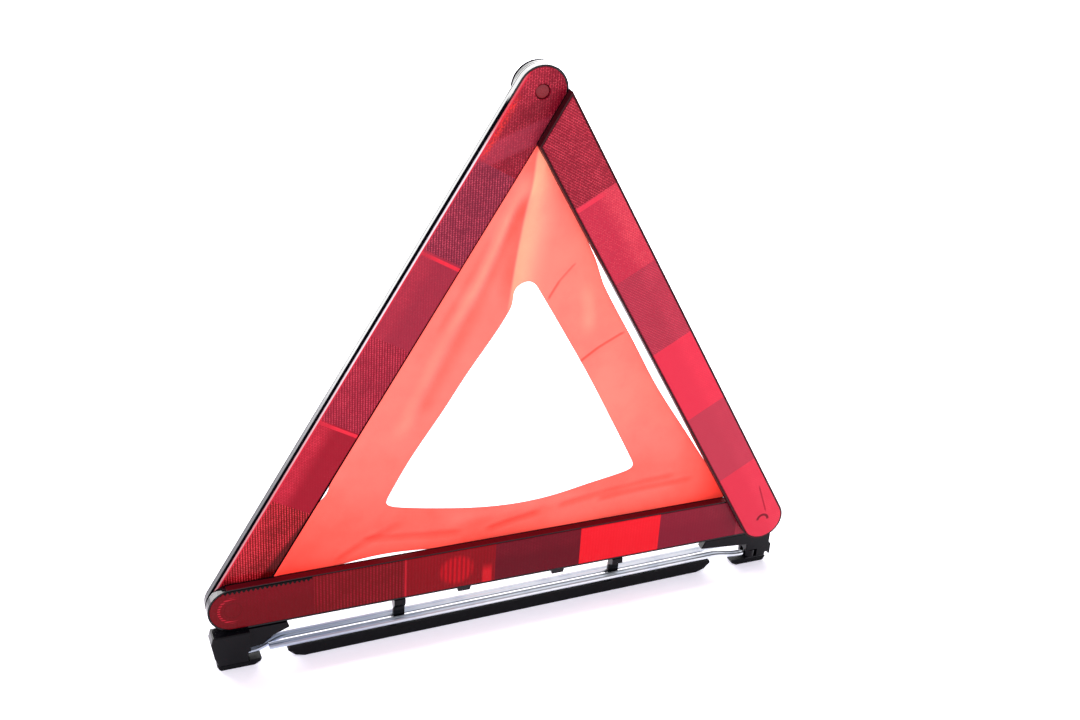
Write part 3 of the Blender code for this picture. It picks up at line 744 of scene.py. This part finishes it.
def sheet_rings(columns):
    """Matching points on the sheet's outer edge and on its hole, going round once from the lower
    left corner."""

    def left_x(z):
        tuck = 0.0006 + 0.0014 * wave(z, 0.14, 0.26)
        return -SPAN / 2 + (BAR_HALF + z * math.cos(LEFT_SLANT)) / math.sin(LEFT_SLANT) - tuck

    low = BAR_HALF - SHEET_TUCK
    high = SPAN * math.sin(RIGHT_SLANT) - 2 * BAR_HALF - SHEET_TOP_GAP
    right_edge = SPAN / 2 - (BAR_HALF + low * math.cos(RIGHT_SLANT)) / math.sin(RIGHT_SLANT)
    low_left = Vector((left_x(low), low))
    low_right = Vector((right_edge + SHEET_RIGHT_TUCK, low))
    top_right = Vector((left_x(high) + SHEET_TOP_WIDTH, high))
    top_left = Vector((left_x(high), high))
    sides = (
        (low_left, low_right, HOLE_LEFT, HOLE_RIGHT),
        (low_right, top_right, HOLE_RIGHT, HOLE_TOP_RIGHT),
        (top_left, low_left, HOLE_TOP_LEFT, HOLE_LEFT),
    )
    rings = []
    for side, (start, end, hole_start, hole_end) in enumerate(sides):
        for i in range(columns):
            share = i / columns
            outer = start.lerp(end, share)
            inner = hole_start.lerp(hole_end, share)
            if side == 0:
                shape_bottom(share, outer, inner)
            elif side == 1:
                shape_right(share, outer, inner)
            else:
                shape_left(share, (end - start).length, outer, inner)
            rings.append((outer, inner))
    return rings


def rounded(points, passes):
    """Softens a closed line of points, which rounds its corners."""
    for _ in range(passes):
        count = len(points)
        points = [
            points[i] * 0.5 + (points[i - 1] + points[(i + 1) % count]) * 0.25
            for i in range(count)
        ]
    return points


def folds(x, z):
    """How far the cloth stands behind its plane at a point: creases, the pleat and soft waves."""
    arm_gap = (x + SPAN / 2) * math.sin(LEFT_SLANT) - z * math.cos(LEFT_SLANT) - BAR_HALF
    free_gap = (SPAN / 2 - x) * math.sin(RIGHT_SLANT) - z * math.cos(RIGHT_SLANT) - BAR_HALF
    right_run = (SPAN / 2 - x) * math.cos(RIGHT_SLANT) + z * math.sin(RIGHT_SLANT)
    depth = 0.0
    for start, end, width, deep, _ in CREASES:
        length = math.dist(start, end)
        way = Vector((end[0] - start[0], end[1] - start[1])).normalized()
        place = Vector((x - start[0], z - start[1]))
        along = place.dot(way)
        off = place.x * way.y - place.y * way.x
        wide = max(width * 1.3, 0.0022)
        ends = wave(along, -2 * wide, 2 * wide) * wave(along, length + 2 * wide, length - 2 * wide)
        depth += deep * hump(off, 0.0, wide) * ends
    # The pleat stands forward on its right and drops away on its left
    way = (PLEAT_FOOT - PLEAT_TOP).normalized()
    off = (z - PLEAT_TOP.z) * way.x - (x - PLEAT_TOP.x) * way.z
    pleat = hump(off, -0.005, 0.006) - 0.6 * hump(off, 0.004, 0.006)
    depth += 0.0024 * wave(z, 0.195, 0.235) * pleat
    # Soft waves along the free right edge, and shallow ones all over
    depth += 0.0016 * math.sin(right_run * 46 + 1.0) * wave(free_gap, 0.060, 0.004)
    depth += 0.0010 * math.sin(x * 61 + 2.0) * math.sin(z * 53 + 0.7)
    # The left arm holds the cloth flat, and its lower edge stands back
    held = wave(arm_gap, 0.0005, 0.0100)
    return depth * held + 0.0016 * wave(z, 0.060, 0.022) * held


def make_sheet():
    """The fluorescent sheet: one wrinkled piece of cloth with its open triangle."""
    low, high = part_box("fluorescent_sheet")
    columns, rows, corner_rounding = 130, 30, 14
    rings = sheet_rings(columns)
    inner = rounded([hole for _, hole in rings], corner_rounding)
    lean = (high.y - low.y) / (high.z - low.z)
    verts = []
    for (edge, _), hole in zip(rings, inner):
        for j in range(rows + 1):
            at = edge.lerp(hole, j / rows)
            plane = high.y - CLOTH_THICK - lean * (at.y + PIVOT_Z - low.z)
            verts.append((at.x, plane + folds(at.x, at.y), at.y + PIVOT_Z))
    faces = []
    for i in range(len(rings)):
        for j in range(rows):
            a = i * (rows + 1) + j
            b = (i + 1) % len(rings) * (rows + 1) + j
            faces.append((a, b, b + 1, a + 1))
    mesh = bpy.data.meshes.new("sheet_cloth")
    mesh.from_pydata(verts, [], faces)
    cloth = bpy.data.objects.new("sheet_cloth", mesh)
    bpy.context.scene.collection.objects.link(cloth)
    solid = cloth.modifiers.new("thickness", "SOLIDIFY")
    solid.thickness = CLOTH_THICK
    solid.offset = 0.0
    bpy.context.view_layer.update()
    solved = cloth.evaluated_get(bpy.context.evaluated_depsgraph_get())
    finished = bpy.data.meshes.new_from_object(solved)
    cloth.modifiers.clear()
    cloth.data = finished
    finished.materials.append(cloth_look(low.z))
    for face in finished.polygons:
        face.use_smooth = True
    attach(cloth, "base")
    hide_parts("fluorescent_sheet")
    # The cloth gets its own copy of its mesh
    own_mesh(cloth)
    return cloth


def make_lamp(name, shape, spot, aim, size, power):
    data = bpy.data.lights.new(name, "AREA")
    data.shape = shape
    data.size = size[0]
    if shape == "RECTANGLE":
        data.size_y = size[1]
    data.energy = power
    lamp = bpy.data.objects.new(name, data)
    bpy.context.scene.collection.objects.link(lamp)
    lamp.location = spot
    lamp.rotation_euler = (Vector(aim) - Vector(spot)).to_track_quat("-Z", "Y").to_euler()
    return lamp


def make_floor():
    """A wide pale floor with a faint mottle and a faint glow of its own."""
    reach = 5.0
    corners = [(-reach, -reach, 0), (reach, -reach, 0), (reach, reach, 0), (-reach, reach, 0)]
    mesh = bpy.data.meshes.new("floor")
    mesh.from_pydata(corners, [], [(0, 1, 2, 3)])
    floor = bpy.data.objects.new("floor", mesh)
    bpy.context.scene.collection.objects.link(floor)
    graph = Graph("floor_paint")
    mottle = graph.noise(graph.place, scale=3.0, detail=2.0)
    graph.set(
        Base_Color=graph.mix(mottle, srgb(246, 244, 252), srgb(249, 247, 254)),
        Roughness=0.6,
        Specular_IOR_Level=0.2,
        Emission_Color=srgb(236, 232, 255),
        Emission_Strength=0.14,
    )
    mesh.materials.append(graph.material)


def make_studio(cloth):
    """Pale floor, soft white light from all round, two soft front lamps and a tall screen of
    light behind."""
    scene = bpy.context.scene
    scene.view_settings.view_transform = "Standard"
    world = bpy.data.worlds.new("studio")
    scene.world = world
    world.use_nodes = True
    background = world.node_tree.nodes["Background"]
    background.inputs["Color"].default_value = (1.0, 0.985, 1.0, 1.0)
    background.inputs["Strength"].default_value = 1.0
    make_floor()

    centre = (0.0, 0.0, 0.15)
    make_lamp("key_lamp", "DISK", (-1.2, -1.6, 2.2), centre, (1.6,), 12.0)
    make_lamp("fill_lamp", "DISK", (1.7, -0.6, 1.6), centre, (1.4,), 6.0)
    behind, ahead = (-0.3, 3.0, 1.35), (-0.3, 0.0, 1.35)
    screen = make_lamp("back_screen", "RECTANGLE", behind, ahead, (5.4, 2.7), 430.0)
    # The screen is there for the gloss of the bars: it spares the cloth, which it would bleach
    # from behind, and the chromed legs, which would vanish against the white floor
    spared = bpy.data.collections.new("not_lit_by_screen")
    for piece in (cloth, NODES["left_leg_wire"], NODES["right_leg_wire"]):
        spared.objects.link(piece)
    screen.light_linking.receiver_collection = spared
    for entry in spared.collection_objects:
        entry.light_linking.link_state = "EXCLUDE"


# The photograph's viewpoint: left of the front, above, looking down
CAMERA_SPOT = (-0.32795, -0.80231, 0.67029)
CAMERA_HEADING = -23.046
CAMERA_DOWN = 27.898
CAMERA_ROLL = 3.658
CAMERA_LENS_MM = 47.76
CAMERA_SENSOR_MM = 36.0


def make_camera():
    data = bpy.data.cameras.new("camera")
    data.sensor_width = CAMERA_SENSOR_MM
    data.lens = CAMERA_LENS_MM
    data.clip_start = 0.01
    data.clip_end = 60.0
    camera = bpy.data.objects.new("camera", data)
    bpy.context.scene.collection.objects.link(camera)
    turn = Matrix.Rotation(math.radians(CAMERA_HEADING), 4, "Z")
    tip = Matrix.Rotation(math.radians(90 - CAMERA_DOWN), 4, "X")
    roll = Matrix.Rotation(math.radians(CAMERA_ROLL), 4, "Z")
    camera.matrix_world = Matrix.Translation(CAMERA_SPOT) @ turn @ tip @ roll
    bpy.context.scene.camera = camera


make_camera()
paint_nodes()
make_studio(make_sheet())
